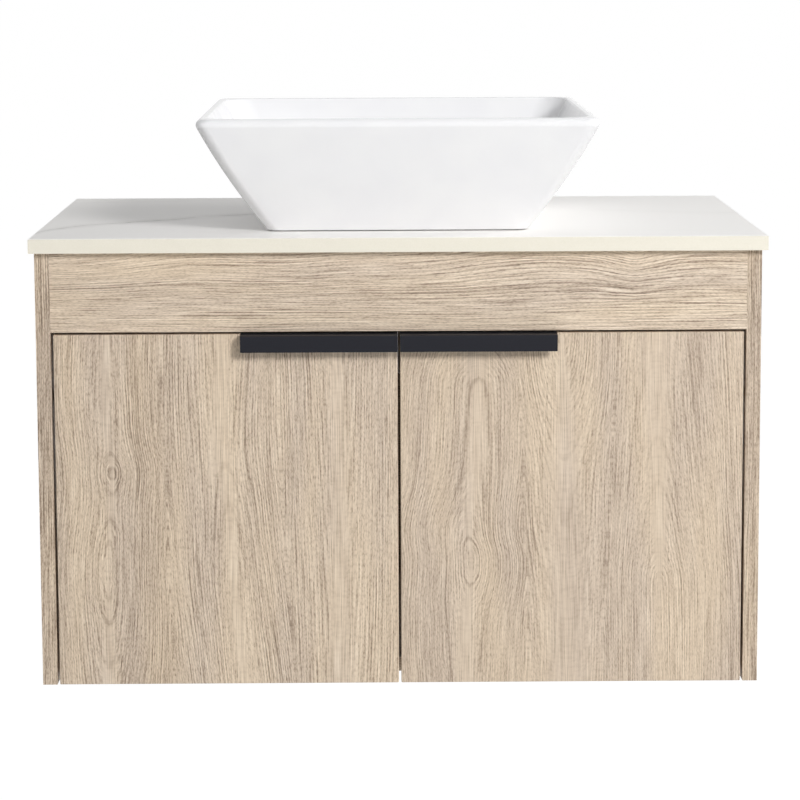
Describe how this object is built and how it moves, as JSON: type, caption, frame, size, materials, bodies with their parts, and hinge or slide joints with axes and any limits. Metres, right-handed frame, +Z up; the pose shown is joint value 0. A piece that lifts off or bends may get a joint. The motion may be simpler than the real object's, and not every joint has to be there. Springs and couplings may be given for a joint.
{
  "type": "bathroom vanity cabinet",
  "caption": "Wall-hung bathroom vanity cabinet with inset hinged doors, black edge pulls, an overhanging slab top and a square tapered vessel basin with a pop-up drain.",
  "frame": {"origin": "middle of the four wall fixing holes, on the plane of the wall", "axes": "+X to the right as seen from the front, +Y into the wall, +Z up; the doors face -Y"},
  "size_m": [0.75, 0.466, 0.585],
  "materials": {
    "oak_laminate": "matt oak-look laminate on board",
    "edge_banding": "matt oak-look edge strip",
    "white_slab": "polished white slab with a soft grey vein",
    "white_ceramic": "glossy white glaze",
    "black_aluminium": "matt black powder coat",
    "nickel_steel": "nickel-plated steel",
    "zinc_casting": "die-cast zinc",
    "beech_dowel": "turned beech",
    "chrome_brass": "polished chrome on brass",
    "black_rubber": "moulded rubber",
    "clear_sealant": "silicone sealant",
    "grey_plastic": "moulded nylon"
  },
  "bodies": {
    "cabinet": {"back_panel": "oak_laminate", "basin": "white_ceramic", "basin_seal": "clear_sealant", "bottom_panel": "oak_laminate", "bracket_screws": "nickel_steel", "cam_bolts": "nickel_steel", "cam_discs": "zinc_casting", "carcass_dowels": "beech_dowel", "corner_brackets": "nickel_steel", "countertop": "white_slab", "drain_body": "chrome_brass", "drain_flange_gasket": "black_rubber", "drain_lower_gasket": "black_rubber", "drain_nut": "grey_plastic", "drain_tailpiece": "chrome_brass", "fascia_panel": "oak_laminate", "hinge_clamp_screws": "nickel_steel", "hinge_plate_screws": "nickel_steel", "left_edge_band": "edge_banding", "left_lower_hinge_arm": "nickel_steel", "left_lower_hinge_plate": "nickel_steel", "left_side_panel": "oak_laminate", "left_upper_hinge_arm": "nickel_steel", "left_upper_hinge_plate": "nickel_steel", "lower_back_rail": "oak_laminate", "right_edge_band": "edge_banding", "right_lower_hinge_arm": "nickel_steel", "right_lower_hinge_plate": "nickel_steel", "right_side_panel": "oak_laminate", "right_upper_hinge_arm": "nickel_steel", "right_upper_hinge_plate": "nickel_steel", "upper_hanging_rail": "oak_laminate"},
    "left_door": {"left_door_panel": "oak_laminate", "left_handle": "black_aluminium", "left_handle_screws": "nickel_steel", "left_hinge_cup_screws": "nickel_steel", "left_lower_hinge_cup": "zinc_casting", "left_lower_hinge_pin": "nickel_steel", "left_upper_hinge_cup": "zinc_casting", "left_upper_hinge_pin": "nickel_steel"},
    "right_door": {"right_door_panel": "oak_laminate", "right_handle": "black_aluminium", "right_handle_screws": "nickel_steel", "right_hinge_cup_screws": "nickel_steel", "right_lower_hinge_cup": "zinc_casting", "right_lower_hinge_pin": "nickel_steel", "right_upper_hinge_cup": "zinc_casting", "right_upper_hinge_pin": "nickel_steel"},
    "stopper": {"stopper_cap": "chrome_brass", "stopper_seal": "black_rubber", "stopper_stem": "chrome_brass"}
  },
  "joints": [
    {"name": "left_door_hinge", "type": "hinge", "parent": "cabinet", "child": "left_door", "pos_m": [-0.3345, -0.442, -0.04725], "axis": [0, 0, -1], "range_deg": [0, 100]},
    {"name": "right_door_hinge", "type": "hinge", "parent": "cabinet", "child": "right_door", "pos_m": [0.3345, -0.442, -0.04725], "axis": [0, 0, 1], "range_deg": [0, 100]},
    {"name": "stopper_lift", "type": "slide", "parent": "cabinet", "child": "stopper", "axis": [0, 0, 1], "range_m": [0, 0.008]}
  ]
}
